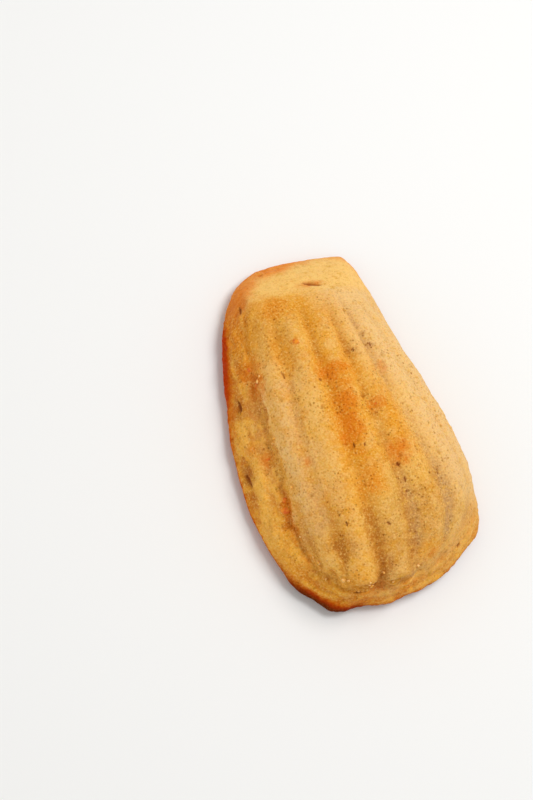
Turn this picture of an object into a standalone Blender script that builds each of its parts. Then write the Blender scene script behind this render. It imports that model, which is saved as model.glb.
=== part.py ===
"""A madeleine: a small shell-shaped sponge cake in one piece, lying on its flat baked side with its ribs up.

Metres, +Z up. The origin is on the underside, in the middle of the cake's box. +Y points to the squared
narrow end and -Y to the round wide end. A grid is shaped into the ribbed shell, and its border is then
drawn down and outwards, ring by ring, into the plain side wall, the rim and the underside.
"""

import math
from collections import namedtuple

import bmesh
import bpy
from mathutils import Vector, noise

MM = 0.001
NAME = "madeleine_cake"

# Whole cake
LENGTH = 76.0 * MM
HEIGHT = 18.8 * MM  # of the valleys between the ribs

# Outlines seen from above. The two sides differ: the cake spread more at the right of its wide end
Side = namedtuple("Side", "half_width widest_at bluntness fall fall_power bow tuck drop")
Outline = namedtuple("Outline", "wide_end narrow_end left right")
RIM = Outline(
    wide_end=-LENGTH / 2,
    narrow_end=LENGTH / 2,
    left=Side(24.0 * MM, -5.0 * MM, 2.5, 7.2 * MM, 1.5, 0.8 * MM, 3.2 * MM, 3.0 * MM),
    right=Side(24.0 * MM, -14.0 * MM, 2.1, 11.3 * MM, 1.2, 0.4 * MM, 1.0 * MM, 0.8 * MM),
)
SHELL = Outline(
    wide_end=-LENGTH / 2 + 5.4 * MM,
    narrow_end=LENGTH / 2 - 10.4 * MM,
    left=Side(17.5 * MM, -5.0 * MM, 3.6, 3.6 * MM, 2.2, -1.3 * MM, 0.0, 0.0),
    right=Side(21.2 * MM, -16.0 * MM, 2.1, 11.2 * MM, 1.3, 0.4 * MM, 0.0, 0.0),
)

# Ribbed shell, seen from the side
RIM_HEIGHT = 2.3 * MM
SIDE_EDGE_HEIGHT = 10.4 * MM
WIDE_EDGE_HEIGHT = 8.6 * MM
SHOULDER_HEIGHT = 12.2 * MM
SHOULDER_EDGE_HEIGHT = 9.0 * MM
CREST_AT = -7.0 * MM  # y of the highest point
WIDE_FALL = 2.5  # higher is a blunter wide end
NARROW_FALL = 1.7
WIDE_EDGE_RUN = 0.3  # share of the length over which the edge climbs from the wide end to the sides
SHOULDER_EDGE_RUN = 0.4  # and falls again to the shoulder
SWEEP = math.radians(80.0)  # half the arc that a cross-section follows

# Ribs: each is RIB_PITCH of the half arc wide
RIB_PITCH = 0.325
RIB_SHIFT = -0.045  # middle of the middle rib
RIB_DEPTH = 1.4 * MM
RIB_ROUNDNESS = 2.1  # 2 is a parabola, higher is flatter on top with narrower valleys
RIB_FADE = 9.0 * MM  # length over which the ribs rise behind the shoulder
RIB_LEAN = 0.19  # towards the narrow end the right-hand ribs crowd in by this share of the half arc
RIB_LEAN_FROM = 0.1  # between these shares of the length
RIB_LEAN_TO = 0.8
RIB_LEAN_LEFT = -0.5  # growing between these two u
RIB_LEAN_RIGHT = 0.25
RIB_LEAN_POWER = 2.5
EDGE_RIB_RUN = 0.75  # share of the half arc beside the edge over which the ribs get lower
EDGE_RIB_DEPTH = 0.3  # share of the depth left at the very edge

# Wall rings from the shell down to the rim: share of the way out, share of the shell's height kept
WALL_RINGS = ((0.03, 0.93), (0.24, 0.74), (0.48, 0.52), (0.73, 0.29), (0.92, 0.1))
WALL_BELLY = 0.5 * MM  # swelling of the wall half way down
FLANK_RIB = 0.6 * MM  # faint low rib along each flank's wall
FLANK_RIB_FROM = 0.7  # |u| where it starts
FLANK_RIB_V = 0.35  # middle and half length of it, as shares of the length
FLANK_RIB_HALF = 0.3
FLANK_RIB_OUT = 0.45  # middle and half width of it, as shares of the way out
FLANK_RIB_WIDE = 0.22

# Rim and underside rings: distance in from the rim line, height
BASE_RINGS = (
    (0.0 * MM, RIM_HEIGHT),
    (0.35 * MM, 1.45 * MM),
    (1.5 * MM, 0.85 * MM),
    (4.0 * MM, 0.35 * MM),
    (8.0 * MM, 0.0 * MM),
)
SPINE_START = -10.0 * MM  # the underside draws in towards a line between these two y values
SPINE_END = 16.0 * MM

# Unevenness of a baked cake
RIM_WANDER = 0.5 * MM
SHELL_WANDER = 0.4 * MM
WANDER_SIZE = 13.0 * MM
SHELL_WANDER_START = Vector((7.0, 3.0, 1.0))

# Swellings of the rim: size, direction and width in degrees (0 is the wide end, 90 the right)
RIM_CENTRE_Y = -5.0 * MM
RIM_SWELLINGS = (
    (1.9 * MM, 46.0, 8.0),  # batter that spread past the mould
    (0.9 * MM, -36.0, 6.0),  # thin brown lip, in two parts
    (1.5 * MM, -22.5, 6.0),
    (-1.7 * MM, 0.0, 19.0),  # flatter stretch between the two
    (0.9 * MM, -3.0, 6.0),  # with a low swelling
)

COLUMNS = 54  # grid faces across the shell
ROWS = 34  # grid faces along it
ROW_CROWDING = 1.35  # crowds the rows towards the steep wide end
NORMAL_STEP = 0.004

CRUST_COLOUR = (0.74, 0.37, 0.08, 1.0)
CRUST_ROUGHNESS = 0.62


def blend(start, end, share):
    return start + (end - start) * share


def smooth_step(share):
    share = min(max(share, 0.0), 1.0)
    return share * share * (3.0 - 2.0 * share)


def bump(value, centre, spread):
    """1 at the centre, falling smoothly to 0 over about twice the spread."""
    return math.exp(-(((value - centre) / spread) ** 2))


def half_width_at(y, side, wide_end, narrow_side_y):
    """Half the width at y: a blunt half oval at the wide end, then a flank drawing in to its corner."""
    if y < side.widest_at:
        share = (side.widest_at - y) / (side.widest_at - wide_end)
        return side.half_width * (1.0 - share**side.bluntness) ** (1.0 / side.bluntness)
    run = narrow_side_y - side.widest_at
    share = (y - side.widest_at) / run
    half = side.half_width - side.fall * share**side.fall_power
    if side.tuck > 0.0:
        corner_power = (run - side.fall_power * side.fall) / side.tuck  # meets the end at 45 degrees
        half -= side.tuck * share**corner_power
    return half


def plan_point(u, v, outline):
    """Point seen from above for u from -1 (left) to 1 and v from 0 (wide end) to 1 (narrow end)."""
    side = outline.left if u < 0.0 else outline.right
    across = math.sin(u * SWEEP) / math.sin(SWEEP)
    reach = side.widest_at - outline.wide_end
    round_share = (1.0 - 0.5 * abs(across) ** side.bluntness) ** (1.0 / side.bluntness)
    wide_y = side.widest_at - reach * round_share
    narrow_y = outline.narrow_end - side.bow * across**2
    if side.drop > 0.0:
        corner_half = side.half_width - side.fall - side.tuck
        corner_power = (corner_half - 2.0 * side.bow) / side.drop
        narrow_y -= side.drop * abs(across) ** corner_power

    wide_side_y = side.widest_at - reach * 0.5 ** (1.0 / side.bluntness)
    narrow_side_y = outline.narrow_end - side.bow - side.drop
    side_y = blend(wide_side_y, narrow_side_y, v)
    half = half_width_at(side_y, side, outline.wide_end, narrow_side_y)
    return across * half, blend(wide_y, narrow_y, v)


def rim_point(u, v):
    """Point of the rim line beside the border point (u, v) of the shell."""
    x, y = plan_point(u, v, RIM)
    outward = Vector((x, y - RIM_CENTRE_Y, 0.0)).normalized()
    angle = math.degrees(math.atan2(outward.x, -outward.y))  # 0 at the wide end, 90 at the right
    spread = RIM_WANDER * noise.noise(Vector((x, y, 0.0)) / WANDER_SIZE)
    for size, direction, width in RIM_SWELLINGS:
        spread += size * bump(angle, direction, width)
    return Vector((x, y, RIM_HEIGHT)) + outward * spread


def crest_height(y):
    """Height of the shell along its middle."""
    if y < CREST_AT:
        share = min((CREST_AT - y) / (CREST_AT - SHELL.wide_end), 1.0)
        return WIDE_EDGE_HEIGHT + (HEIGHT - WIDE_EDGE_HEIGHT) * (1.0 - share**WIDE_FALL) ** 0.5
    share = min((y - CREST_AT) / (SHELL.narrow_end - CREST_AT), 1.0)
    return HEIGHT - (HEIGHT - SHOULDER_HEIGHT) * share**NARROW_FALL


def plain_shell(u, v):
    """Point of the shell without its ribs."""
    x, y = plan_point(u, v, SHELL)
    arch = (math.cos(u * SWEEP) - math.cos(SWEEP)) / (1.0 - math.cos(SWEEP))
    edge = blend(WIDE_EDGE_HEIGHT, SIDE_EDGE_HEIGHT, smooth_step(v / WIDE_EDGE_RUN))
    edge = blend(SHOULDER_EDGE_HEIGHT, edge, smooth_step((1.0 - v) / SHOULDER_EDGE_RUN))
    crest = max(crest_height(blend(SHELL.wide_end, SHELL.narrow_end, v)), edge)
    return Vector((x, y, blend(edge, crest, arch)))


def rib_height(u, v):
    """How far the ribs stand above their valleys."""
    across = min(max((u - RIB_LEAN_LEFT) / (RIB_LEAN_RIGHT - RIB_LEAN_LEFT), 0.0), 1.0)
    along = smooth_step((v - RIB_LEAN_FROM) / (RIB_LEAN_TO - RIB_LEAN_FROM))
    phase = (u + RIB_LEAN * along * across**RIB_LEAN_POWER - RIB_SHIFT) / RIB_PITCH + 0.5
    place = 2.0 * (phase - math.floor(phase)) - 1.0
    profile = 1.0 - abs(place) ** RIB_ROUNDNESS
    run = SHELL.narrow_end - SHELL.wide_end
    low_edge = blend(EDGE_RIB_DEPTH, 1.0, smooth_step((1.0 - abs(u)) / EDGE_RIB_RUN))
    return RIB_DEPTH * profile * low_edge * smooth_step((1.0 - v) * run / RIB_FADE)


def shell_normal(u, v):
    low_u, high_u = max(u - NORMAL_STEP, -1.0), min(u + NORMAL_STEP, 1.0)
    low_v, high_v = max(v - NORMAL_STEP, 0.0), min(v + NORMAL_STEP, 1.0)
    across = plain_shell(high_u, v) - plain_shell(low_u, v)
    along = plain_shell(u, high_v) - plain_shell(u, low_v)
    return across.cross(along).normalized()


def shell_point(u, v):
    """Point of the ribbed shell."""
    base = plain_shell(u, v)
    lift = rib_height(u, v) + SHELL_WANDER * noise.noise(base / WANDER_SIZE + SHELL_WANDER_START)
    return base + shell_normal(u, v) * lift


def wall_point(u, v, out, keep):
    """Point of the wall: share out of the way to the rim, share keep of the shell's height above it."""
    top = plain_shell(u, v)
    rim = rim_point(u, v)
    point = top.lerp(rim, out)
    point.z = blend(rim.z, top.z, keep)
    outward = Vector((rim.x - top.x, rim.y - top.y, 0.0)).normalized()
    flank = smooth_step((abs(u) - FLANK_RIB_FROM) / (1.0 - FLANK_RIB_FROM))
    flank *= bump(v, FLANK_RIB_V, FLANK_RIB_HALF) * bump(out, FLANK_RIB_OUT, FLANK_RIB_WIDE)
    return point + outward * (WALL_BELLY * math.sin(math.pi * out) + FLANK_RIB * flank)


def base_point(u, v, inset, height):
    """Point of the rim's edge or the underside, inset from the rim line."""
    rim = rim_point(u, v)
    spine_y = min(max(rim.y, SPINE_START), SPINE_END)
    inward = Vector((-rim.x, spine_y - rim.y, 0.0)).normalized()
    point = rim + inward * inset
    point.z = height
    return point


def crust_material():
    material = bpy.data.materials.new("golden_crust")
    material.use_nodes = True
    shader = material.node_tree.nodes["Principled BSDF"]
    shader.inputs["Base Color"].default_value = CRUST_COLOUR
    shader.inputs["Roughness"].default_value = CRUST_ROUGHNESS
    shader.inputs["Metallic"].default_value = 0.0
    return material


def border_edges(bm):
    return [edge for edge in bm.edges if edge.is_boundary]


def add_ring(bm, place, position):
    """Draws the open border out into one more ring, placed by position(u, v)."""
    drawn = bmesh.ops.extrude_edge_only(bm, edges=border_edges(bm))
    for item in drawn["geom"]:
        if isinstance(item, bmesh.types.BMVert):
            u, v, _ = item[place]
            item.co = position(u, v)


def box_middle(bm):
    xs = [vert.co.x for vert in bm.verts]
    ys = [vert.co.y for vert in bm.verts]
    return Vector(((min(xs) + max(xs)) / 2.0, (min(ys) + max(ys)) / 2.0, 0.0))


def cake_mesh():
    bm = bmesh.new()
    place = bm.verts.layers.float_vector.new("place")
    bmesh.ops.create_grid(bm, x_segments=COLUMNS, y_segments=ROWS, size=1.0)
    for vert in bm.verts:
        u = vert.co.x
        v = ((vert.co.y + 1.0) / 2.0) ** ROW_CROWDING
        vert[place] = (u, v, 0.0)
        vert.co = shell_point(u, v)
    for out, keep in WALL_RINGS:
        add_ring(bm, place, lambda u, v: wall_point(u, v, out, keep))
    for inset, height in BASE_RINGS:
        add_ring(bm, place, lambda u, v: base_point(u, v, inset, height))
    bmesh.ops.holes_fill(bm, edges=border_edges(bm))
    bmesh.ops.recalc_face_normals(bm, faces=bm.faces)
    bmesh.ops.translate(bm, verts=bm.verts, vec=-box_middle(bm))
    mesh = bpy.data.meshes.new(NAME)
    bm.to_mesh(mesh)
    bm.free()
    mesh.shade_smooth()
    return mesh


def main():
    for thing in list(bpy.data.objects):
        bpy.data.objects.remove(thing)
    cakes = bpy.data.collections.new("madeleine")
    bpy.context.scene.collection.children.link(cakes)
    cake = bpy.data.objects.new(NAME, cake_mesh())
    cake.data.materials.append(crust_material())
    cakes.objects.link(cake)


main()
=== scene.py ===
"""Dresses the madeleine: porous golden skin, torn shell edge, browned rim, baked underside, baked-in bits."""

import math

import bpy
import numpy as np
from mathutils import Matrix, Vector, kdtree, noise


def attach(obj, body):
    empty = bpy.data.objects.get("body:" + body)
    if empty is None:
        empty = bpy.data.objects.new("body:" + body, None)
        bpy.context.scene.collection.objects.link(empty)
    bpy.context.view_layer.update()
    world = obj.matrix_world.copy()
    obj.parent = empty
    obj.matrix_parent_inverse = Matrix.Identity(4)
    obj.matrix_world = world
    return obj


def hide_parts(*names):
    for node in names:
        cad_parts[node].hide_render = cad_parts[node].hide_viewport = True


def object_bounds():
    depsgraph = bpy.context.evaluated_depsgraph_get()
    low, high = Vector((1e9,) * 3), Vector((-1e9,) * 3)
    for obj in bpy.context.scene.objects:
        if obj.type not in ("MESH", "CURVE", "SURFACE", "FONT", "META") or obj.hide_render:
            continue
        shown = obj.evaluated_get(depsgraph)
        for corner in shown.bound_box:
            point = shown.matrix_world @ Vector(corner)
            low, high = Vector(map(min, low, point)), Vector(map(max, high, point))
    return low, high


MM = 0.001
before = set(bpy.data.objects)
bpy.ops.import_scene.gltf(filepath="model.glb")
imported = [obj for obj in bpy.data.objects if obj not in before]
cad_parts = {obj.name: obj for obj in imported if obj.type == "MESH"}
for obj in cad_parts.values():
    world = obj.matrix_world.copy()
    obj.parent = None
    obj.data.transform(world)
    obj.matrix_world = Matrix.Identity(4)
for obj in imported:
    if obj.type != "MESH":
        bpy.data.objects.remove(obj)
CAKE_NODE = "madeleine_cake"
cad_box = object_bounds()

# ---------------------------------------------------------------- sponge mesh
GRAIN = 0.318 * MM  # spacing of the skin's points
ROUND_MIDDLE = -5.4  # y of the middle of the round wide end, in millimetres

# Rounds of smoothing: to tell ribs from valleys, to soften the shell's edge, and to smooth the spread batter
RIB_EASING = 137
EDGE_EASING = 36
SPREAD_EASING = 337

# Chance of a pit at each point of the skin
PITS_ON_SHELL = 0.0019
PITS_IN_CROWDS = 0.0112
PITS_ON_WALL = 0.0037
PITS_UNDERNEATH = 0.0015
CRUMB_CHANCE = 0.0075

PIT_SEED = 26
CRUMB_SEED = 8
CRUMB_SHAPE_SEED = 5
CRUMB_FLATNESS = 0.75
BIT_SHAPE_SEED = 3
BIT_FLATNESS = 0.42
BIT_SINK = 0.12  # how deep an orange bit's middle lies in the skin, in millimetres

# Plan outline of the ribbed shell: half width, y of the widest place, bluntness, narrowing and its power
OUTLINE_SHIFT = (0.053, -0.396)  # millimetres, from the outline's own middle to the cake's
SHELL_WIDE_END = -32.6
SHELL_NARROW_END = 27.6
LEFT_EDGE = (17.5, -5.0, 3.6, 3.6, 2.2)
RIGHT_EDGE = (21.2, -16.0, 2.1, 11.2, 1.3)


def deselect_all():
    if bpy.context.mode != "OBJECT":
        bpy.ops.object.mode_set(mode="OBJECT")
    bpy.ops.object.select_all(action="DESELECT")


def pick(obj):
    deselect_all()
    obj.select_set(True)
    bpy.context.view_layer.objects.active = obj


def modify(obj, kind, **settings):
    """Adds a modifier and applies it."""
    pick(obj)
    modifier = obj.modifiers.new(kind.title(), kind)
    for name, value in settings.items():
        setattr(modifier, name, value)
    bpy.ops.object.modifier_apply(modifier=modifier.name)


def smooth_step(low, high, value):
    share = np.clip((value - low) / (high - low), 0.0, 1.0)
    return share * share * (3.0 - 2.0 * share)


def hump(away, width):
    """1 where away is 0, fading out on both sides."""
    return np.exp(-((away / width) ** 2))


def points_of(obj):
    co = np.empty(len(obj.data.vertices) * 3)
    obj.data.vertices.foreach_get("co", co)
    return co.reshape(-1, 3) / MM


def normals_of(obj):
    normal = np.empty(len(obj.data.vertices) * 3)
    obj.data.vertices.foreach_get("normal", normal)
    return normal.reshape(-1, 3)


def set_points(obj, points):
    obj.data.vertices.foreach_set("co", (points * MM).astype(np.float32).ravel())
    obj.data.update()


def grainy(points, size, seed=0.0):
    """Soft noise from about -1 to 1 at each point, with lumps of that size in millimetres."""
    away = Vector((seed * 17.3, seed * 9.1, seed * 5.7))
    return np.array([noise.noise(Vector(p) / size + away) for p in points])


def paint(obj, name, values):
    layer = obj.data.attributes.new(name, "FLOAT", "POINT")
    layer.data.foreach_set("value", np.clip(values, 0.0, 1.0).astype(np.float32))


# ------------------------------------------------------------- the cake's parts
def half_width(y, edge, wide_end, narrow_end):
    half, widest_at, bluntness, fall, power = edge
    if y < widest_at:
        share = min((widest_at - y) / (widest_at - wide_end), 1.0)
        return half * (1.0 - share**bluntness) ** (1.0 / bluntness)
    share = (y - widest_at) / (narrow_end - widest_at)
    return half - fall * share**power


def edge_line(edge, sign):
    """One side of the shell's plan outline, from the wide end to the narrow one."""
    line = []
    for step in range(401):
        share = step / 400.0
        y = SHELL_WIDE_END + (SHELL_NARROW_END - SHELL_WIDE_END) * share**2
        x = sign * half_width(y, edge, SHELL_WIDE_END, SHELL_NARROW_END)
        line.append((x + OUTLINE_SHIFT[0], y + OUTLINE_SHIFT[1]))
    return np.array(line)


def past_edge(points):
    """Plan distance past the shell's edge, in millimetres, negative on the shell."""
    left, right = edge_line(LEFT_EDGE, -1.0), edge_line(RIGHT_EDGE, 1.0)
    tree = kdtree.KDTree(len(left) + len(right))
    for number, (x, y) in enumerate(np.vstack((left, right))):
        tree.insert((x, y, 0.0), number)
    tree.balance()
    away = np.array([tree.find((x, y, 0.0))[2] for x, y, _ in points])
    x, y = points[:, 0], points[:, 1]
    on_shell = (x > np.interp(y, left[:, 1], left[:, 0])) & (x < np.interp(y, right[:, 1], right[:, 0]))
    on_shell &= y > SHELL_WIDE_END + OUTLINE_SHIFT[1]
    away[on_shell] *= -1.0
    beyond = y > SHELL_NARROW_END + OUTLINE_SHIFT[1]
    away[beyond] = np.maximum(away[beyond], y[beyond] - SHELL_NARROW_END - OUTLINE_SHIFT[1])
    return away


def blank_cake():
    """A fine-skinned copy of the plain cake."""
    deselect_all()
    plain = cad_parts[CAKE_NODE]
    cake = bpy.data.objects.new("madeleine_skin", plain.data.copy())
    bpy.context.scene.collection.objects.link(cake)
    cake.data.materials.clear()
    pick(cake)
    bpy.ops.object.mode_set(mode="EDIT")
    bpy.ops.mesh.select_all(action="SELECT")
    bpy.ops.mesh.remove_doubles(threshold=0.00001)
    bpy.ops.mesh.customdata_custom_splitnormals_clear()
    bpy.ops.mesh.tris_convert_to_quads()
    bpy.ops.mesh.faces_shade_smooth()
    bpy.ops.object.mode_set(mode="OBJECT")
    modify(cake, "SUBSURF", levels=2, render_levels=2)
    modify(cake, "REMESH", mode="VOXEL", voxel_size=GRAIN, use_smooth_shade=True)
    modify(cake, "SMOOTH", factor=0.5, iterations=4)
    return cake


def eased(cake, iterations):
    """Where the skin's points would lie after smoothing."""
    smoothed = cake.copy()
    smoothed.data = cake.data.copy()
    bpy.context.scene.collection.objects.link(smoothed)
    modify(smoothed, "SMOOTH", factor=0.9, iterations=iterations)
    points = points_of(smoothed)
    bpy.data.objects.remove(smoothed)
    return points


def dig(points, carve, pit, centres, radii, depths):
    """Presses round pits into the skin."""
    tree = kdtree.KDTree(len(points))
    for number, point in enumerate(points):
        tree.insert(point, number)
    tree.balance()
    for centre, radius, depth in zip(centres, radii, depths):
        for _, number, away in tree.find_range(points[centre], radius * 1.6):
            share = math.exp(-2.0 * (away / radius) ** 2)
            carve[number] = min(carve[number], -depth * share)
            pit[number] = max(pit[number], share * min(depth / 0.3, 1.0))


def slit(points, carve, pit, start, end, width, depth):
    """Presses a short crack from the skin nearest to start to the skin nearest to end."""
    ends = [points[np.argmin(np.linalg.norm(points - np.array(place), axis=1))] for place in (start, end)]
    start, end = ends
    run = end - start
    share = np.clip(((points - start) @ run) / (run @ run), 0.0, 1.0)
    away = np.linalg.norm(points - start - share[:, None] * run, axis=1)
    taper = np.sqrt(np.clip(1.0 - (2.0 * share - 1.0) ** 2, 0.05, 1.0))
    mark = np.exp(-((away / (width * taper)) ** 2))
    np.minimum(carve, -depth * mark, out=carve)
    np.maximum(pit, mark, out=pit)


def stain(points, spots, ragged):
    """Ragged stains. A spot is its place, half sizes along x, y and z, and strength."""
    total = np.zeros(len(points))
    for place, size, strength in spots:
        away = np.linalg.norm((points - np.array(place)) / np.array(size), axis=1)
        total = np.maximum(total, strength * smooth_step(1.8, 0.1, away + ragged))
    return total


# Places in millimetres. Cracks: start, end, width, depth
CRACKS = (
    ((-1.0, 30.5, 9.5), (2.0, 28.5, 10.5), 0.45, 0.5),
    ((-20.5, 9.0, 6.0), (-20.5, 6.5, 6.0), 0.4, 0.5),
    ((-23.2, -5.8, 4.2), (-22.2, -8.3, 5.2), 0.48, 0.55),
    ((-15.2, 28.8, 6.5), (-15.0, 26.8, 7.0), 0.3, 0.4),
    ((15.5, -29.5, 6.8), (15.6, -30.8, 6.5), 0.3, 0.4),
    ((-12.9, 11.2, 15.0), (-12.7, 9.8, 15.0), 0.22, 0.25),
    ((3.5, -13.2, 18.8), (3.5, -13.8, 18.8), 0.42, 0.55),
    ((3.9, -16.5, 18.5), (3.9, -16.9, 18.5), 0.24, 0.3),
    ((3.8, -18.8, 18.1), (3.8, -19.2, 18.1), 0.24, 0.3),
    ((-1.9, -24.2, 18.1), (-1.5, -24.8, 18.1), 0.26, 0.3),
    ((-9.8, -22.2, 17.0), (-9.8, -22.7, 17.0), 0.28, 0.3),
    ((-8.6, -34.2, 7.0), (-7.2, -34.0, 7.0), 0.4, 0.5),
    ((-6.6, 7.4, 17.5), (-6.4, 6.8, 17.5), 0.24, 0.25),
    ((-4.3, -7.4, 19.0), (-4.3, -8.0, 19.0), 0.28, 0.3),
    ((-2.4, -8.1, 19.8), (-2.4, -8.5, 19.8), 0.22, 0.25),
    ((6.3, 12.8, 16.3), (6.3, 12.3, 16.3), 0.24, 0.25),
    ((1.8, 12.0, 17.3), (1.9, 11.5, 17.3), 0.24, 0.25),
    ((13.7, 5.5, 14.3), (13.7, 5.1, 14.3), 0.22, 0.25),
    ((11.5, -16.4, 16.9), (11.5, -16.8, 16.9), 0.24, 0.25),
)

# Stains: place, half sizes and strength. Gold where the skin is a little more baked
WARM = (
    ((-2.5, 8.0, 18.0), (3.4, 4.2, 4.0), 0.9),
    ((-3.0, 0.5, 18.5), (3.2, 5.5, 4.0), 1.0),
    ((-3.5, -6.0, 19.0), (2.6, 5.0, 4.0), 0.9),
    ((4.0, 3.0, 18.0), (2.2, 4.0, 4.0), 0.35),
    ((5.5, -4.0, 18.5), (2.0, 5.0, 4.0), 0.8),
    ((-10.0, 25.5, 12.0), (4.0, 3.0, 4.0), 0.8),
    ((2.0, 20.0, 14.5), (1.6, 4.0, 4.0), 0.3),
    ((-4.0, 19.0, 15.0), (1.6, 5.0, 4.0), 0.6),
    ((6.5, -30.5, 13.0), (3.0, 2.6, 3.0), 0.8),
    ((-16.0, 19.0, 9.0), (3.0, 6.0, 5.0), 0.6),
    ((-5.0, -16.0, 19.0), (2.5, 5.0, 4.0), 0.6),
    ((-12.0, 15.5, 13.5), (3.0, 4.5, 4.0), 0.7),
    ((-2.5, -15.5, 19.5), (1.8, 3.5, 3.0), 0.9),
    ((-20.0, -26.0, 4.5), (3.0, 5.0, 3.0), 0.7),
    ((-8.5, -32.4, 10.5), (2.6, 2.0, 3.2), 0.9),
)

# Orange where it toasted against the mould
TOASTED = (
    ((-4.0, 8.0, 17.5), (2.2, 2.4, 3.0), 1.0),
    ((-2.5, 9.0, 18.0), (2.4, 1.6, 3.0), 0.8),
    ((-3.0, 2.0, 18.5), (2.2, 3.0, 3.0), 1.0),
    ((-3.5, -1.5, 18.5), (1.8, 2.6, 3.0), 0.8),
    ((-3.3, -3.5, 19.0), (1.6, 4.0, 3.0), 1.0),
    ((-5.0, -6.0, 18.5), (1.1, 1.8, 3.0), 0.9),
    ((3.0, -0.5, 18.5), (1.3, 1.3, 3.0), 0.9),
    ((4.5, -11.0, 19.0), (2.0, 2.2, 3.0), 1.0),
    ((-3.0, -15.5, 19.0), (1.8, 3.0, 3.0), 0.5),
    ((-8.5, 16.5, 15.5), (0.9, 0.9, 2.0), 1.0),
    ((-10.0, 25.0, 12.0), (2.4, 2.0, 3.0), 0.45),
    ((0.5, 29.5, 10.0), (2.6, 0.8, 1.4), 0.8),
    ((-15.0, 29.6, 5.4), (2.8, 4.4, 3.4), 1.0),
    ((-17.6, 21.5, 6.2), (1.4, 4.0, 2.2), 0.6),
    ((-17.0, 12.0, 9.5), (1.7, 4.0, 2.6), 1.0),
    ((-18.2, 14.2, 8.0), (2.2, 2.8, 2.4), 1.0),
    ((-3.0, 5.2, 18.5), (1.8, 2.0, 3.0), 0.6),
    ((-18.0, -15.0, 9.0), (1.3, 2.2, 2.0), 1.0),
    ((-19.0, -4.5, 8.5), (1.6, 1.2, 2.0), 0.8),
    ((-21.0, -1.5, 7.0), (1.0, 1.2, 2.0), 0.7),
    ((-18.0, -20.0, 8.5), (1.0, 1.6, 2.0), 0.6),
    ((-16.5, -26.5, 7.0), (1.0, 1.4, 2.0), 0.5),
    ((-13.5, -8.5, 16.0), (0.8, 0.8, 2.0), 0.6),
    ((7.0, 7.0, 17.5), (0.7, 1.6, 2.0), 0.5),
    ((-5.0, -34.5, 6.0), (4.0, 1.2, 2.0), 0.6),
    ((1.5, -35.0, 5.0), (1.5, 1.2, 2.0), 0.8),
    ((-7.0, -36.0, 4.0), (1.5, 1.0, 1.0), 0.7),
    ((7.5, -31.5, 12.5), (0.9, 0.8, 1.5), 0.8),
)

# Brown spots: cracks, dark hollows of the wall and clusters of larger pores
BROWNED = (
    ((2.0, 12.0, 16.5), (1.3, 1.4, 2.0), 0.5),
    ((5.5, 12.5, 17.0), (1.2, 1.2, 2.0), 0.25),
    ((-11.0, -26.0, 14.5), (2.0, 2.4, 3.0), 0.5),
    ((-3.0, -31.0, 14.0), (1.2, 2.0, 3.0), 0.6),
    ((-3.5, -26.0, 17.0), (1.0, 3.0, 3.0), 0.35),
    ((10.5, -17.0, 17.5), (1.2, 2.2, 2.0), 0.35),
    ((16.0, -24.0, 11.0), (1.6, 2.0, 2.5), 0.3),
    ((-17.0, 11.5, 9.5), (1.0, 1.8, 1.6), 0.4),
    ((-20.5, 8.0, 6.0), (0.9, 2.0, 1.4), 0.8),
    ((-22.5, -6.5, 5.0), (1.2, 2.6, 1.6), 0.9),
    ((-12.0, 20.0, 13.0), (5.0, 5.0, 6.0), 0.2),
    ((-20.0, 18.5, 6.0), (2.0, 6.0, 3.0), 0.35),
    ((-15.5, 27.5, 7.0), (0.8, 1.6, 1.4), 0.8),
    ((-15.8, 29.6, 5.0), (1.8, 3.4, 2.2), 0.5),
)

# Fair skin
FAIR = (
    ((-14.6, 15.0, 12.0), (1.3, 4.5, 3.0), 0.9),
    ((-9.5, 3.0, 17.5), (1.5, 4.0, 3.0), 0.6),
    ((8.4, -0.4, 18.0), (1.5, 4.0, 3.0), 0.7),
    ((2.0, 19.5, 15.5), (1.2, 3.5, 3.0), 0.6),
    ((5.0, -33.0, 9.0), (2.5, 2.5, 3.0), 0.5),
    ((-2.2, -35.4, 6.0), (3.0, 1.4, 2.0), 0.7),
)

# Crowds of pores
PORY = (
    ((2.0, 12.0, 16.5), (2.4, 2.4, 3.0), 1.0),
    ((6.0, 12.0, 17.0), (2.0, 3.0, 3.0), 1.0),
    ((-12.0, 2.5, 16.0), (3.0, 12.0, 4.0), 0.8),
    ((-12.0, 18.5, 13.0), (3.0, 8.0, 4.0), 0.8),
    ((-7.0, 1.5, 18.0), (2.5, 7.0, 4.0), 0.8),
    ((0.0, -1.5, 19.0), (4.0, 10.0, 4.0), 0.8),
    ((6.0, -17.5, 18.0), (4.0, 9.0, 4.0), 1.0),
    ((11.0, -16.0, 17.0), (3.5, 7.0, 4.0), 1.0),
    ((8.0, 3.5, 17.5), (3.0, 6.0, 4.0), 0.6),
    ((-10.0, -24.5, 15.0), (4.0, 5.0, 4.0), 0.7),
)

# Notches in the torn edge at the wide end: x, half width, depth
NOTCHES = ((-13.0, 1.3, 1.0), (-4.2, 1.2, 0.9), (5.0, 1.5, 1.0))


class Skin:
    """The skin's points in millimetres, where each lies on the cake, and its soft noise."""

    def __init__(self, cake):
        self.cake = cake
        self.points, self.normals = points_of(cake), normals_of(cake)
        # Positive in the valleys, negative on the ribs
        self.hollow = ((eased(cake, RIB_EASING) - self.points) * self.normals).sum(axis=1)
        self.past = past_edge(self.points)
        self.x, self.y, self.height = self.points.T
        # Degrees round the cake: 0 at the wide end, 90 on the right
        self.turn = np.degrees(np.arctan2(self.x, -(self.y - ROUND_MIDDLE)))
        self.lumps = grainy(self.points, 8.0, 1.0)
        self.clods = grainy(self.points, 3.0, 2.0)
        self.crumbs = grainy(self.points, 1.25, 3.0)
        self.grains = grainy(self.points, 0.7, 4.0)


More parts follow.
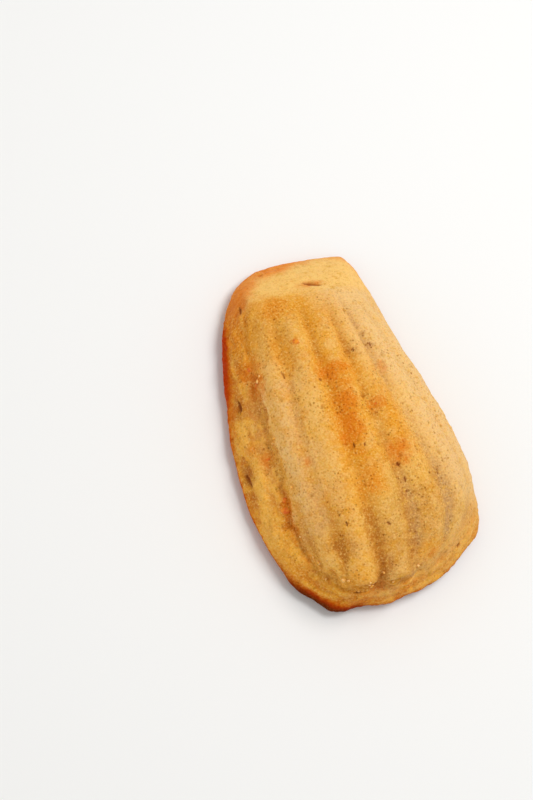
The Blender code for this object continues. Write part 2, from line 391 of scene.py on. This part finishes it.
def mark_parts(skin):
    """Works out, from 0 to 1, how far each point belongs to each part of the cake."""
    past, turn, height = skin.past, skin.turn, skin.height
    skin.under = smooth_step(-0.35, -0.75, skin.normals[:, 2]) * smooth_step(2.4, 1.6, height)
    end_slope = smooth_step(25.5, 28.5, skin.y + 0.8 * skin.lumps + 0.5 * skin.clods)
    skin.slope = end_slope * (1.0 - skin.under)
    skin.torn = smooth_step(18.0, 8.0, skin.y) * smooth_step(14.0, 7.0, turn)
    skin.at_end = smooth_step(-36.0, -26.0, turn)
    skin.smooth_side = smooth_step(34.0, 60.0, turn)
    ragged = 0.9 * skin.clods + 0.45 * skin.crumbs
    skin.wall_edge = past + skin.torn * (1.0 - 0.6 * skin.at_end) * ragged
    whole = 1.0 - skin.torn
    skin.wall = smooth_step(-0.3 - 1.6 * whole, 0.4 + 1.2 * whole, skin.wall_edge) * (1.0 - skin.under)
    skin.rough = skin.wall * (1.0 - 0.8 * skin.slope) * (1.0 - 0.6 * skin.smooth_side)
    skin.rough *= smooth_step(1.2, 4.5, height)
    skin.spread = smooth_step(6.5, 15.0, turn) * smooth_step(95.0, 70.0, turn) * hump(past - 0.8, 3.2)
    skin.spread *= smooth_step(2.2, 4.6, height) * (1.0 - skin.under)


def soften_edge(skin):
    """Runs the shell softly into the wall where the skin is whole, and smooths the spread batter."""
    melt = (1.0 - skin.torn) * hump(skin.past - 0.3, 2.6)
    melt = np.maximum(melt, 0.85 * (1.0 - skin.at_end) * hump(skin.past, 1.6)) * (1.0 - skin.under)
    skin.points = skin.points + melt[:, None] * (eased(skin.cake, EDGE_EASING) - skin.points)
    skin.points += skin.spread[:, None] * (eased(skin.cake, SPREAD_EASING) - skin.points)


def bulge_edge(skin):
    """At the wide end the torn edge bulges out between its notches."""
    notch = sum(depth * hump(skin.x - at, width) for at, width, depth in NOTCHES)
    bulge = 1.5 * skin.torn * skin.at_end * np.clip(1.0 - notch, 0.0, 1.0) * hump(skin.past, 2.2)
    bulge *= skin.height > 3.0
    outward = np.stack((skin.x, skin.y - ROUND_MIDDLE), axis=1)
    skin.points[:, :2] += bulge[:, None] * outward / np.linalg.norm(outward, axis=1)[:, None]


def uneven_skin(skin):
    """Lumps everywhere, blocky on the torn wall, creased along the wide end's band."""
    past, turn = skin.past, skin.turn
    lift = 0.25 * skin.lumps + 0.10 * skin.clods + 0.07 * skin.crumbs + 0.05 * skin.grains
    lift += skin.rough * (0.34 * skin.clods + 0.20 * skin.crumbs + 0.08 * skin.grains)
    skin.creases = grainy(np.stack((past, turn * 0.07, skin.height * 0.3), axis=1), 1.1, 6.0)
    lift += 0.22 * skin.rough * skin.creases * smooth_step(95.0, 60.0, np.abs(turn))
    skin.ridge = hump(past - 3.4 + 0.5 * skin.lumps, 1.0) * smooth_step(-30.0, -50.0, turn)
    skin.ridge *= smooth_step(-115.0, -85.0, turn)  # faint low rib along the left wall
    return lift + 0.35 * skin.ridge


def outer_valleys(skin):
    """Fills the valleys beside the outermost ribs and presses the slim leftmost rib's own low valley."""
    x, y, on_shell = skin.x, skin.y, skin.past < 0.0
    left_valley = hump(x + 11.5 - 0.07 * y, 2.3) * smooth_step(-30.0, -20.0, y)
    right_valley = smooth_step(9.0, 13.0, x + 0.2 * y) * smooth_step(60.0, 80.0, skin.turn)
    right_valley *= smooth_step(-14.0, 4.0, y)
    skin.shallow = np.maximum(0.8 * left_valley, 0.6 * right_valley) * on_shell
    skin.slim_valley = hump(x + 13.1 - 0.11 * np.maximum(y, -7.0), 1.4) * on_shell
    skin.slim_valley *= smooth_step(-27.0, -20.0, y) * smooth_step(25.0, 18.0, y)
    filled = (0.5 + 0.3 * left_valley) * skin.shallow * smooth_step(-0.2, 0.5, skin.hollow)
    return filled, 0.55 * skin.slim_valley


def torn_lip(skin):
    """The torn skin stands proud of the wall, with a groove under it."""
    skin.lip = smooth_step(0.3, -0.2, skin.wall_edge) * smooth_step(-5.0, -0.6, skin.past)
    skin.groove = hump(skin.wall_edge - 0.6, 0.42)
    return skin.torn * (0.44 * skin.lip - (0.3 + 0.15 * skin.at_end) * skin.groove)


def pits_and_cracks(skin):
    """How deep the pits and cracks are pressed at each point."""
    random = np.random.default_rng(PIT_SEED)
    points = skin.points
    carve = np.zeros(len(points))
    skin.pit, skin.crack = np.zeros(len(points)), np.zeros(len(points))
    skin.crowd = stain(points, PORY, 0.5 * skin.clods)
    on_top = (skin.past < 0.0) & (skin.height > 6.0)
    chance = np.where(on_top, PITS_ON_SHELL + PITS_IN_CROWDS * skin.crowd, 0.0)
    chance = np.where(skin.wall > 0.5, PITS_ON_WALL * (1.0 - 0.8 * skin.slope), chance)
    chance = np.where(skin.under > 0.5, PITS_UNDERNEATH, chance)
    centres = np.nonzero(random.random(len(points)) < chance)[0]
    radii = random.uniform(0.22, 0.4, len(centres)) + 0.22 * (random.random(len(centres)) < 0.08)
    dig(points, carve, skin.pit, centres, radii, 0.6 * radii)
    for start, end, width, depth in CRACKS:
        slit(points, carve, skin.crack, start, end, width, depth)
    return carve


def stains(skin):
    """Toasted, gold, browned and fair places."""
    ragged = 0.6 * skin.clods + 0.5 * skin.crumbs + 0.2 * skin.grains
    toast, warm, brown, fair = (stain(skin.points, spots, ragged) for spots in (TOASTED, WARM, BROWNED, FAIR))
    beside = skin.torn * (1.0 - skin.at_end) * hump(skin.past - 1.4, 1.5) * smooth_step(-16.0, -8.0, skin.y)
    return {"warm": warm, "toast": toast, "brown": brown, "fair": np.maximum(fair, 0.35 * beside)}


def browned_rim_and_edge_shadow(skin):
    """Brown rim, broad on the left, orange along the narrow end's edge, and scorched at the small lip, with a
    dark line along the bottom edge that is partly browned crust and partly painted shadow.
    """
    x, turn, height = skin.x, skin.turn, skin.height
    lumps, clods, crumbs = skin.lumps, skin.clods, skin.crumbs
    left_side = smooth_step(-88.0, -125.0, turn) * smooth_step(3.0, -12.0, x)
    corner = smooth_step(27.0, 31.0, skin.y) * smooth_step(12.0, -14.0, x)
    upper_left = hump(turn + 141.0, 16.0)
    edge_wave = 0.5 * lumps + 0.4 * clods + 0.3 * crumbs
    reach = 2.3 + 1.5 * left_side + 1.4 * corner + edge_wave
    rim = smooth_step(reach + 2.4, reach - 1.2, height)
    strength = 0.5 + 0.16 * left_side + 0.42 * upper_left + 0.2 * lumps + 0.15 * crumbs
    lip_brown = smooth_step(6.0, 2.6, height + 0.5 * clods) * hump(turn + 27.0, 15.0)
    rim = rim * strength * (1.0 - 0.5 * skin.smooth_side) + lip_brown
    # Painted shadow: a dark line all round the bottom edge, partly browned crust
    edge_shadow_line = smooth_step(3.3, 1.8, height + 0.4 * crumbs) * (1.0 - 0.4 * skin.smooth_side)
    baked = smooth_step(0.4, 1.2, height)
    narrow = smooth_step(22.0, 32.0, skin.y)
    # The rim takes in the painted shadow line along the bottom edge
    rim = np.maximum(rim, 0.8 * edge_shadow_line) * baked * (1.0 - 0.75 * narrow)

    orange_reach = 3.2 + 2.4 * smooth_step(6.0, -5.0, x) + 2.2 * smooth_step(-8.0, -13.0, x)
    orange_reach = orange_reach + 0.9 * clods + 0.6 * crumbs
    orange_edge = narrow * smooth_step(orange_reach + 1.6, orange_reach - 1.6, height) * baked
    orange_edge *= 0.85 + 0.3 * lumps

    lip_scorched = 1.4 * lip_brown * smooth_step(4.4, 2.2, height)
    # Scorch at the small lip, and the bottom edge's painted shadow line at the wide end
    scorched_and_edge_shadow = np.maximum(lip_scorched, 0.6 * edge_shadow_line * hump(turn - 15.0, 35.0)) * baked
    return {"rim": rim, "orange_edge": orange_edge, "scorched_and_edge_shadow": scorched_and_edge_shadow}


def rib_tones(skin):
    """Brown and grey painted shade in the valleys, painted highlights on the pale crests and the pale right
    flank, dull left ribs and a tan wide end, the tan partly painted shade in its hollows.
    """
    x, y, hollow = skin.x, skin.y, skin.hollow
    low_end = smooth_step(-12.0, -24.0, y)
    # Painted shade: the valleys between the ribs darkened, most at the wide end
    valley_shade = smooth_step(-0.1 - 0.2 * low_end, 0.5 - 0.15 * low_end, hollow)
    valley_shade *= (1.0 - skin.wall) * (1.0 - skin.under) * (1.0 - 0.6 * skin.shallow)
    valley_shade *= 1.0 - 0.45 * smooth_step(3.0, 12.0, x) * smooth_step(-14.0, -4.0, y)
    valley_shade *= (1.0 + 0.75 * low_end) * (1.0 - skin.spread)
    valley_shade = np.maximum(valley_shade, 0.5 * skin.slim_valley * (1.0 - skin.wall))
    # Painted shade: greyer valley shade on the right-hand ribs
    grey_valley_shade = np.clip(valley_shade, 0.0, 1.0) * smooth_step(1.0, 6.0, x)
    valley_shade -= 0.6 * grey_valley_shade
    # Painted highlight: the rib crests painted paler
    crest_highlight = smooth_step(0.0, -0.35, hollow) * (1.0 - skin.wall) * (1.0 - skin.slim_valley)

    shell = 1.0 - skin.wall * (1.0 - skin.smooth_side)
    dull = smooth_step(-7.0, -13.0, x - 0.05 * y + 1.5 * skin.lumps) * smooth_step(20.0, 8.0, y) * shell
    dull *= smooth_step(-28.0, -20.0, y + 1.5 * skin.clods)
    tan = smooth_step(-8.0, -22.0, y + 2.5 * skin.lumps) * smooth_step(-9.0, 0.0, x) * shell
    # Partly painted shade: the tan is stronger in the hollows than on the crests
    tan *= (0.4 + 0.6 * smooth_step(-0.3, 0.3, hollow)) * (1.0 - 0.7 * skin.spread)
    # Painted highlight: the right flank and the spread batter below it painted paler, where the light falls
    flank = smooth_step(3.0, 12.0, x + 0.30 * y) * smooth_step(-28.0, -18.0, y) * (1.0 - skin.under)
    right_side_highlight = np.maximum(flank, 0.38 * skin.spread)
    return {"valley_shade": valley_shade, "grey_valley_shade": grey_valley_shade, "crest_highlight": crest_highlight, "dull": dull, "tan": tan, "right_side_highlight": right_side_highlight}


def wall_tones(skin):
    """Where the wall, its faint rib with its painted highlight, streaks, the groove with its painted shadow,
    the narrow end's slope and the underside are.
    """
    open_wall = skin.wall * (1.0 - skin.slope) * (1.0 - skin.smooth_side) * (1.0 - 0.6 * skin.spread)
    # Painted shadow: the groove under the torn skin darkened brown
    groove = skin.torn * skin.groove * (0.75 + 0.25 * skin.at_end)
    return {
        "wall": open_wall,
        "ridge": skin.ridge,
        "streak": 0.5 + 0.6 * skin.creases,
        "slope": skin.slope,
        "under": skin.under,
        "groove": groove,
    }


def shape_cake():
    """Makes the skin and paints its tones. Also gives where the torn edge is, for the crumbs."""
    cake = blank_cake()
    skin = Skin(cake)
    mark_parts(skin)
    soften_edge(skin)
    bulge_edge(skin)
    filled, pressed = outer_valleys(skin)
    lift = uneven_skin(skin) + filled - pressed + torn_lip(skin)
    lift *= 1.0 - 0.55 * skin.under
    carve = pits_and_cracks(skin)
    set_points(cake, skin.points + skin.normals * (lift + carve)[:, None])

    pores = {"crowd": skin.crowd, "pit": skin.pit, "crack": skin.crack}
    for tones in (rib_tones(skin), wall_tones(skin), browned_rim_and_edge_shadow(skin), stains(skin), pores):
        for name, values in tones.items():
            paint(cake, name, values)
    edge = np.maximum(skin.lip * (skin.past > -1.0), skin.groove)
    return cake, skin.torn * edge * (skin.height > 4.0)


def fit_in_box(cake):
    """Brings the finished skin back inside the plain cake's box."""
    points = points_of(cake)
    low, high = points.min(axis=0), points.max(axis=0)
    box_low, box_high = np.array(cad_box[0]) / MM, np.array(cad_box[1]) / MM
    set_points(cake, box_low + (points - low) / (high - low) * (box_high - box_low))


def scatter_lumps(name, centres, normals, sizes, flatness, seed):
    """One mesh of small knobbly lumps, each half sunk in the skin."""
    random = np.random.default_rng(seed)
    lumps = []
    for number, (centre, normal, size) in enumerate(zip(centres, normals, sizes)):
        deselect_all()
        bpy.ops.mesh.primitive_ico_sphere_add(subdivisions=2, radius=0.5)
        lump = bpy.context.object
        for vert in lump.data.vertices:
            vert.co *= 1.0 + 0.45 * noise.noise(vert.co * 2.3 + Vector((number * 3.7, seed, 0.0)))
        lump.rotation_euler = Vector(normal).to_track_quat("Z", "Y").to_euler()
        stretch = random.uniform(0.75, 1.3)
        lump.scale = np.array((size * stretch, size / stretch, size * flatness)) * MM
        lump.location = centre * MM
        lumps.append(lump)
    deselect_all()
    for lump in lumps:
        lump.select_set(True)
    bpy.context.view_layer.objects.active = lumps[0]
    bpy.ops.object.join()
    bpy.ops.object.transform_apply(location=True, rotation=True, scale=True)
    bpy.ops.object.shade_smooth()
    joined = bpy.context.object
    joined.name = name
    return joined


# Orange bits baked into the skin: place and size in millimetres
BITS = (
    ((-18.5, -15.5, 9.0), 1.9),
    ((-18.0, -13.5, 9.5), 1.1),
    ((-17.0, 11.0, 9.5), 1.5),
    ((-17.5, 14.5, 9.0), 1.1),
    ((-19.0, -4.5, 8.5), 1.1),
    ((-8.5, 16.5, 15.5), 1.4),
    ((3.0, -0.5, 18.5), 0.8),
)


def baked_bits(points, normals):
    """Finds the skin beside each bit and sinks the bit into it."""
    numbers = [np.argmin(np.linalg.norm(points - np.array(place), axis=1)) for place, _ in BITS]
    sizes = [size for _, size in BITS]
    centres = points[numbers] - BIT_SINK * normals[numbers]
    return scatter_lumps("orange_bits", centres, normals[numbers], sizes, BIT_FLATNESS, BIT_SHAPE_SEED)


def loose_crumbs(points, normals, where):
    """Crumbs caught along the torn edge."""
    random = np.random.default_rng(CRUMB_SEED)
    numbers = np.nonzero(random.random(len(points)) < CRUMB_CHANCE * where)[0]
    sizes = random.uniform(0.3, 0.75, len(numbers))
    centres = points[numbers] + normals[numbers] * (0.15 * sizes)[:, None]
    return scatter_lumps("crumbs", centres, normals[numbers], sizes, CRUMB_FLATNESS, CRUMB_SHAPE_SEED)


# ------------------------------------------------------------------ materials
class Finish:
    """Nodes of one procedural material."""

    def __init__(self, name):
        self.material = bpy.data.materials.new(name)
        self.material.use_nodes = True
        self.tree = self.material.node_tree
        self.shader = self.tree.nodes["Principled BSDF"]
        self.place = self.node("ShaderNodeTexCoord").outputs["Object"]

    def node(self, kind, **settings):
        made = self.tree.nodes.new(kind)
        for name, value in settings.items():
            setattr(made, name, value)
        return made

    def put(self, socket, value):
        if isinstance(value, bpy.types.NodeSocket):
            self.tree.links.new(value, socket)
        else:
            socket.default_value = value

    def painted(self, name):
        return self.node("ShaderNodeAttribute", attribute_name=name).outputs["Fac"]

    def math(self, operation, one, two=0.0, clamp=False):
        made = self.node("ShaderNodeMath", operation=operation, use_clamp=clamp)
        self.put(made.inputs[0], one)
        self.put(made.inputs[1], two)
        return made.outputs[0]

    def spread(self, value, low, high, to_low=0.0, to_high=1.0):
        """Maps low..high smoothly to to_low..to_high."""
        made = self.node("ShaderNodeMapRange", interpolation_type="SMOOTHSTEP")
        for number, given in enumerate((value, low, high, to_low, to_high)):
            self.put(made.inputs[number], given)
        return made.outputs[0]

    def cloud(self, size, detail=3.0, rough=0.55):
        """Noise with lumps of about that size in millimetres."""
        made = self.node("ShaderNodeTexNoise")
        self.put(made.inputs["Vector"], self.place)
        made.inputs["Scale"].default_value = 1.0 / (size * MM)
        made.inputs["Detail"].default_value = detail
        made.inputs["Roughness"].default_value = rough
        return made.outputs["Fac"]

    def cells(self, size):
        made = self.node("ShaderNodeTexVoronoi", feature="F1")
        self.put(made.inputs["Vector"], self.place)
        made.inputs["Scale"].default_value = 1.0 / (size * MM)
        made.inputs["Randomness"].default_value = 1.0
        return made.outputs["Distance"], made.outputs["Color"]

    def mix(self, share, one, two):
        made = self.node("ShaderNodeMix", data_type="RGBA")
        self.put(made.inputs[0], share)
        self.put(made.inputs[6], one)
        self.put(made.inputs[7], two)
        return made.outputs[2]

    def coat(self, colour, name, strength, tone):
        """Lays a tone over the colour where that name is painted."""
        return self.mix(self.math("MULTIPLY", self.painted(name), strength), colour, tone)

    def mottled(self, name, cloud, low, high, least, most=1.0):
        """What is painted under that name, broken up by a cloud."""
        return self.math("MULTIPLY", self.painted(name), self.spread(cloud, low, high, least, most))

    def multiply(self, share, one, two):
        made = self.node("ShaderNodeMix", data_type="RGBA", blend_type="MULTIPLY")
        self.put(made.inputs[0], share)
        self.put(made.inputs[6], one)
        self.put(made.inputs[7], two)
        return made.outputs[2]


GOLD = (0.87, 0.44, 0.072, 1.0)
HONEY = (0.80, 0.34, 0.032, 1.0)
PEACH = (0.86, 0.46, 0.105, 1.0)
OCHRE = (0.74, 0.37, 0.038, 1.0)
DULL = (0.90, 0.55, 0.210, 1.0)
TAN = (0.50, 0.285, 0.078, 1.0)
# Cream of the painted highlights on the crests and the right flank
HIGHLIGHT_CREAM = (0.86, 0.57, 0.260, 1.0)
FAIR_CREAM = (0.95, 0.59, 0.185, 1.0)
# Grey of the painted shade in the right-hand valleys
GREY_VALLEY_SHADE = (0.60, 0.335, 0.130, 1.0)
# Brown of the painted shade in the valleys
VALLEY_SHADE_BROWN = (0.54, 0.19, 0.018, 1.0)
TOAST_ORANGE = (0.74, 0.20, 0.008, 1.0)
WALL_GOLD = (0.88, 0.395, 0.036, 1.0)
WALL_AMBER = (0.64, 0.20, 0.016, 1.0)
# Light wall tone, for the light streaks and for the painted highlight on the wall's faint rib
WALL_LIGHT = (0.93, 0.49, 0.085, 1.0)
WARM_GOLD = (0.80, 0.32, 0.018, 1.0)
SLOPE_GOLD = (0.96, 0.58, 0.170, 1.0)
# Brown of the painted shadow under the torn skin
GROOVE_SHADOW_BROWN = (0.46, 0.145, 0.010, 1.0)
UNDER_TAN = (0.62, 0.23, 0.040, 1.0)
UNDER_RED = (0.46, 0.09, 0.012, 1.0)
EDGE_ORANGE = (0.84, 0.205, 0.008, 1.0)
RIM_ORANGE = (0.66, 0.17, 0.007, 1.0)
RIM_BROWN = (0.50, 0.042, 0.001, 1.0)
# Brown of the scorch at the lip and of the painted shadow line along the bottom edge
SCORCH_AND_SHADOW_BROWN = (0.14, 0.022, 0.002, 1.0)
SPOT_BROWN = (0.40, 0.11, 0.012, 1.0)
CRACK_BROWN = (0.26, 0.05, 0.006, 1.0)
PORE_BROWN = (0.62, 0.47, 0.22, 1.0)
LIGHT_GRAIN = (0.94, 0.58, 0.170, 1.0)
SPECK_SHADE = (0.80, 0.66, 0.42, 1.0)
BIT_RED = (0.70, 0.13, 0.005, 1.0)
BIT_ORANGE = (0.88, 0.29, 0.012, 1.0)
PAPER_WHITE = (0.9, 0.9, 0.89, 1.0)
STUDIO_WHITE = (1.0, 0.99, 0.97, 1.0)


def shell_colour(look, blotch, dapple):
    """Gold skin, dull and tan ribs, brown and grey painted shade in the valleys, painted highlights on the
    pale right flank and the crests, and a pale narrow end.
    """
    colour = look.mix(look.spread(look.cloud(9.0, 2.0), 0.38, 0.62), GOLD, HONEY)
    colour = look.mix(look.mottled("dull", blotch, 0.35, 0.62, 0.2, 0.9), colour, DULL)
    # Tan of the wide end, partly painted shade in its hollows
    colour = look.mix(look.mottled("tan", blotch, 0.3, 0.6, 0.5), colour, TAN)
    # Painted highlight on the right flank
    colour = look.coat(colour, "right_side_highlight", 0.75, HIGHLIGHT_CREAM)
    # Painted highlight on the rib crests
    colour = look.mix(look.mottled("crest_highlight", dapple, 0.35, 0.65, 0.0, 0.35), colour, HIGHLIGHT_CREAM)
    # Painted shade in the valleys between the ribs
    colour = look.mix(look.mottled("valley_shade", blotch, 0.3, 0.7, 0.6), colour, VALLEY_SHADE_BROWN)
    # Painted shade, greyer, in the right-hand valleys
    colour = look.coat(colour, "grey_valley_shade", 0.8, GREY_VALLEY_SHADE)
    return look.coat(colour, "slope", 0.9, SLOPE_GOLD)


def wall_colour(look, colour, blotch):
    """Streaked amber wall, with a painted highlight on its faint ridge and brown painted shadow in the groove
    under the torn skin.
    """
    streak = look.painted("streak")
    tone = look.mix(look.spread(blotch, 0.44, 0.62), WALL_GOLD, WALL_AMBER)
    tone = look.mix(look.spread(streak, 0.45, 0.25, 0.0, 0.7), tone, WALL_AMBER)
    tone = look.mix(look.spread(streak, 0.55, 0.8, 0.0, 0.7), tone, WALL_LIGHT)
    colour = look.mix(look.painted("wall"), colour, tone)
    # Painted highlight: the faint raised rib on the left wall painted light
    colour = look.coat(colour, "ridge", 0.7, WALL_LIGHT)
    # Painted shadow in the groove under the torn skin
    return look.coat(colour, "groove", 0.6, GROOVE_SHADOW_BROWN)


def clouded(look, colour, dapple, fleck):
    """Small clouds of peach and ochre over everything."""
    colour = look.mix(look.spread(dapple, 0.50, 0.68, 0.0, 0.5), colour, PEACH)
    return look.mix(look.spread(fleck, 0.48, 0.30, 0.0, 0.55), colour, OCHRE)


def baked_places(look, colour, fleck):
    """Red-brown underside, gold and toasted patches, brown spots, and the browned rim with its painted shadow
    line along the bottom edge.
    """
    under_tone = look.mix(look.spread(look.cloud(4.5, 4.0, 0.65), 0.56, 0.72), UNDER_TAN, UNDER_RED)
    colour = look.mix(look.painted("under"), colour, under_tone)
    colour = look.coat(colour, "warm", 0.9, WARM_GOLD)
    colour = look.mix(look.mottled("toast", fleck, 0.25, 0.6, 0.55), colour, TOAST_ORANGE)
    colour = look.mix(look.mottled("brown", fleck, 0.3, 0.6, 0.5), colour, SPOT_BROWN)
    colour = look.mix(look.mottled("orange_edge", fleck, 0.3, 0.6, 0.7), colour, EDGE_ORANGE)
    # Browned rim, with the painted shadow line along the bottom edge
    rim = look.math("ADD", look.painted("rim"), look.spread(fleck, 0.3, 0.7, -0.12, 0.12), clamp=True)
    colour = look.mix(look.spread(rim, 0.10, 0.55), colour, RIM_ORANGE)
    colour = look.mix(look.spread(rim, 0.45, 0.95), colour, RIM_BROWN)
    # Scorch at the lip and painted shadow along the bottom edge
    return look.mix(look.painted("scorched_and_edge_shadow"), colour, SCORCH_AND_SHADOW_BROWN)


def grainy_colour(look, colour):
    """Light and dark grains, few light ones on the baked places."""
    speck = look.cloud(0.40, 2.0, 0.6)
    darker = look.math("MAXIMUM", look.math("MULTIPLY", look.painted("toast"), 0.5), look.painted("rim"))
    darker = look.math("MAXIMUM", darker, look.painted("orange_edge"))
    fewer = look.spread(darker, 0.1, 0.8, 1.0, 0.1)
    light = look.math("MULTIPLY", look.spread(speck, 0.50, 0.72, 0.0, 0.6), fewer)
    colour = look.mix(light, colour, LIGHT_GRAIN)
    return look.multiply(look.spread(speck, 0.50, 0.28, 0.0, 0.75), colour, SPECK_SHADE)


def skin_pores(look):
    """Fine pores nearly everywhere and larger ones in some places, most in the crowded patches."""
    end_slope = look.math("MULTIPLY", look.painted("slope"), 0.8)
    smooth_places = look.math("MAXIMUM", look.painted("rim"), end_slope)
    bare = look.math("SUBTRACT", 1.0, smooth_places, clamp=True)
    crowd = look.spread(look.cloud(4.0, 3.0), 0.35, 0.62, 0.3, 0.8)
    crowd = look.math("MAXIMUM", crowd, look.painted("crowd"))
    fine_away, fine_pick = look.cells(0.65)
    fine = look.math("MULTIPLY", look.spread(fine_away, 0.38, 0.12), look.spread(fine_pick, 0.30, 0.50))
    large_away, large_pick = look.cells(1.0)
    large = look.math("MULTIPLY", look.spread(large_away, 0.28, 0.12), look.spread(large_pick, 0.50, 0.60))
    pores = look.math("MAXIMUM", look.math("MULTIPLY", fine, 0.75), large)
    return look.math("MULTIPLY", look.math("MULTIPLY", pores, crowd), bare)


def rough_surface(look, blotch, pores):
    """Dry, faintly translucent sponge, with its grain and pores in low relief."""
    shader = look.shader
    look.put(shader.inputs["Roughness"], look.spread(blotch, 0.3, 0.7, 0.5, 0.68))
    look.put(shader.inputs["Specular IOR Level"], look.spread(look.painted("rim"), 0.1, 0.7, 0.1, 0.02))
    shader.inputs["Specular Tint"].default_value = (1.0, 0.78, 0.5, 1.0)
    shader.inputs["Subsurface Weight"].default_value = 0.12
    shader.inputs["Subsurface Radius"].default_value = (1.0, 0.45, 0.15)
    shader.inputs["Subsurface Scale"].default_value = 0.8 * MM

    raised = look.math("MULTIPLY", look.cloud(0.5, 3.0, 0.65), 0.18)
    raised = look.math("SUBTRACT", raised, look.math("MULTIPLY", pores, 0.14))
    bump = look.node("ShaderNodeBump")
    bump.inputs["Distance"].default_value = 1.0 * MM
    bump.inputs["Strength"].default_value = 1.0
    look.put(bump.inputs["Height"], raised)
    look.put(shader.inputs["Normal"], bump.outputs["Normal"])


def sponge_finish():
    look = Finish("golden_sponge")
    blotch = look.cloud(3.2, 3.0)
    dapple = look.cloud(1.7, 2.0)
    fleck = look.cloud(1.2, 3.0, 0.6)

    colour = shell_colour(look, blotch, dapple)
    colour = wall_colour(look, colour, blotch)
    colour = look.coat(colour, "fair", 0.7, FAIR_CREAM)
    colour = clouded(look, colour, dapple, fleck)
    colour = baked_places(look, colour, fleck)
    colour = grainy_colour(look, colour)

    pores = skin_pores(look)
    colour = look.multiply(pores, colour, PORE_BROWN)
    colour = look.multiply(look.math("MULTIPLY", look.painted("pit"), 0.8), colour, PORE_BROWN)
    colour = look.coat(colour, "crack", 0.9, CRACK_BROWN)
    look.put(look.shader.inputs["Base Color"], colour)
    rough_surface(look, blotch, pores)
    return look.material


def bit_finish():
    look = Finish("baked_orange_bits")
    colour = look.mix(look.spread(look.cloud(0.7, 3.0), 0.35, 0.65), BIT_RED, BIT_ORANGE)
    look.put(look.shader.inputs["Base Color"], colour)
    look.shader.inputs["Roughness"].default_value = 0.42
    look.shader.inputs["Specular IOR Level"].default_value = 0.3
    return look.material


def crumb_finish():
    look = Finish("loose_crumb")
    colour = look.mix(look.spread(look.cloud(0.5, 3.0), 0.35, 0.65), WALL_GOLD, DULL)
    look.put(look.shader.inputs["Base Color"], colour)
    look.shader.inputs["Roughness"].default_value = 0.8
    look.shader.inputs["Specular IOR Level"].default_value = 0.16
    return look.material


# -------------------------------------------------------------- floor and light
CAMERA_TURN = math.radians(-57.0)
CAMERA_RISE = math.radians(66.0)
CAMERA_ROLL = math.radians(-42.32)
CAMERA_AWAY = 384.0 * MM
AIM = Vector((*OUTLINE_SHIFT, 10.0)) * MM
SHIFT = (-0.1056, 0.025)
LENS = 85.0
SENSOR_HEIGHT = 36.0
LIGHT_AWAY = 500.0 * MM
FLOOR_SIZE = 4.0
SKY_STRENGTH = 0.55


def camera_axes():
    toward = Vector(
        (
            math.sin(CAMERA_TURN) * math.cos(CAMERA_RISE),
            -math.cos(CAMERA_TURN) * math.cos(CAMERA_RISE),
            math.sin(CAMERA_RISE),
        )
    )
    level = Vector((0.0, 0.0, 1.0)).cross(toward).normalized()
    upright = toward.cross(level)
    right = level * math.cos(CAMERA_ROLL) - upright * math.sin(CAMERA_ROLL)
    up = level * math.sin(CAMERA_ROLL) + upright * math.cos(CAMERA_ROLL)
    return right, up, toward


def place_camera():
    right, up, toward = camera_axes()
    camera = bpy.data.objects.new("camera", bpy.data.cameras.new("camera"))
    bpy.context.scene.collection.objects.link(camera)
    turn = camera.matrix_world.copy()
    for row in range(3):
        turn[row][0], turn[row][1], turn[row][2] = right[row], up[row], toward[row]
    turn.translation = AIM + toward * CAMERA_AWAY
    camera.matrix_world = turn
    camera.data.lens = LENS
    camera.data.sensor_fit = "VERTICAL"
    camera.data.sensor_height = SENSOR_HEIGHT
    camera.data.shift_x, camera.data.shift_y = SHIFT
    camera.data.clip_start = 0.01
    bpy.context.scene.camera = camera


def soft_light(name, direction, size, power):
    """A round area light at LIGHT_AWAY from the cake, shining at it."""
    lamp = bpy.data.lights.new(name, "AREA")
    lamp.shape = "DISK"
    lamp.size = size
    lamp.energy = power
    obj = bpy.data.objects.new(name, lamp)
    bpy.context.scene.collection.objects.link(obj)
    obj.location = AIM + direction.normalized() * LIGHT_AWAY
    obj.rotation_euler = direction.to_track_quat("Z", "Y").to_euler()


def set_stage():
    deselect_all()
    bpy.ops.mesh.primitive_plane_add(size=FLOOR_SIZE, location=(0.0, 0.0, 0.0))
    floor = bpy.context.object
    floor.name = "floor"
    paper = bpy.data.materials.new("white_paper")
    paper.use_nodes = True
    shader = paper.node_tree.nodes["Principled BSDF"]
    shader.inputs["Base Color"].default_value = PAPER_WHITE
    shader.inputs["Roughness"].default_value = 0.85
    floor.data.materials.append(paper)

    world = bpy.data.worlds.new("studio")
    bpy.context.scene.world = world
    world.use_nodes = True
    sky = world.node_tree.nodes["Background"]
    sky.inputs["Color"].default_value = STUDIO_WHITE
    sky.inputs["Strength"].default_value = SKY_STRENGTH
    right, up, toward = camera_axes()
    soft_light("key", right * 0.62 + up * 0.5 + toward * 0.75, size=0.30, power=1.45)
    soft_light("fill", -right * 0.9 - up * 0.1 + toward * 0.7, size=0.5, power=0.32)
    bpy.context.scene.view_settings.view_transform = "Standard"


# ------------------------------------------------------------------------ build
cake, torn_edge = shape_cake()
fit_in_box(cake)
cake.data.materials.append(sponge_finish())
bits = baked_bits(points_of(cake), normals_of(cake))
bits.data.materials.append(bit_finish())
crumbs = loose_crumbs(points_of(cake), normals_of(cake), torn_edge)
crumbs.data.materials.append(crumb_finish())
for piece in (cake, bits, crumbs):
    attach(piece, "root")
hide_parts(CAKE_NODE)
set_stage()
place_camera()
